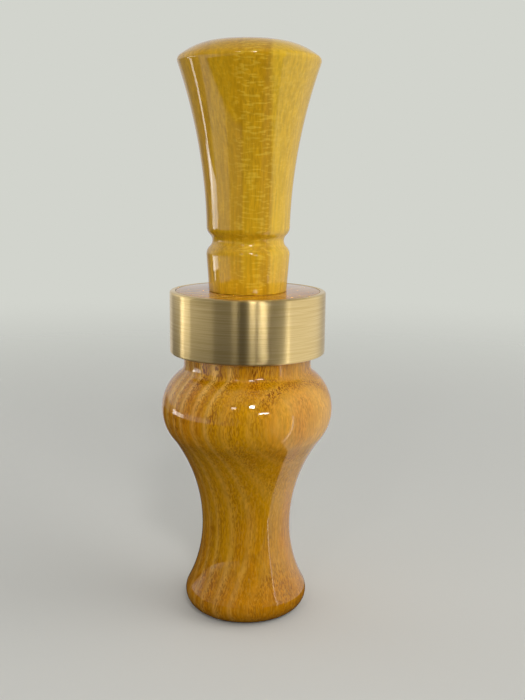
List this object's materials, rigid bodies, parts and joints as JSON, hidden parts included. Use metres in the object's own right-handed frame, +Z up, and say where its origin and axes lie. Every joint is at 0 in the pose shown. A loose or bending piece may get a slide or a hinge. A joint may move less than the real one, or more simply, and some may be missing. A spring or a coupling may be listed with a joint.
{
  "type": "bird call",
  "caption": "Turned wooden duck call: a waisted barrel with a brass band, and a flared insert that pulls out and turns, with reeds wedged on a tone board.",
  "frame": {"origin": "middle of the mouthpiece's flat rest ring, where the call stands", "axes": "+Z up the call's axis from the mouthpiece to the bell; -Y is the side that the reeds face"},
  "size_m": [0.0388, 0.0388, 0.1282],
  "materials": {
    "barrel_wood": "high-gloss lacquer",
    "bell_wood": "high-gloss lacquer",
    "band_brass": "brushed round, lacquered",
    "board_polymer": "machined",
    "reed_film": "polyester film",
    "wedge_cork": "natural cork",
    "ring_rubber": "moulded"
  },
  "bodies": {
    "barrel": {"barrel": "barrel_wood", "brass_band": "band_brass"},
    "seals": {"upper_o_ring": "ring_rubber", "lower_o_ring": "ring_rubber"},
    "insert": {"stopper_bell": "bell_wood", "tone_board": "board_polymer", "cork_wedge": "wedge_cork"},
    "lower_reed": {"lower_reed": "reed_film"},
    "upper_reed": {"upper_reed": "reed_film"}
  },
  "joints": [
    {"name": "insert_pull", "type": "slide", "parent": "barrel", "child": "seals", "axis": [0, 0, 1], "range_m": [0, 0.06]},
    {"name": "insert_turn", "type": "hinge", "parent": "seals", "child": "insert", "pos_m": [0, 0, 0.0746], "axis": [0, 0, 1], "continuous": true},
    {"name": "lower_reed_flex", "type": "hinge", "parent": "insert", "child": "lower_reed", "pos_m": [0, -0.0016, 0.0386], "axis": [1, 0, 0], "range_deg": [-1.5, 3.3], "stiffness_Nm_per_rad": 0.028, "deforming": ["lower_reed"]},
    {"name": "upper_reed_flex", "type": "hinge", "parent": "insert", "child": "upper_reed", "pos_m": [0, -0.0016, 0.0386], "axis": [1, 0, 0], "range_deg": [-1.5, 3.3], "stiffness_Nm_per_rad": 0.028, "deforming": ["upper_reed"]}
  ],
  "couplings": [
    {"joint": "upper_reed_flex", "follows": "lower_reed_flex", "ratio": 1}
  ]
}
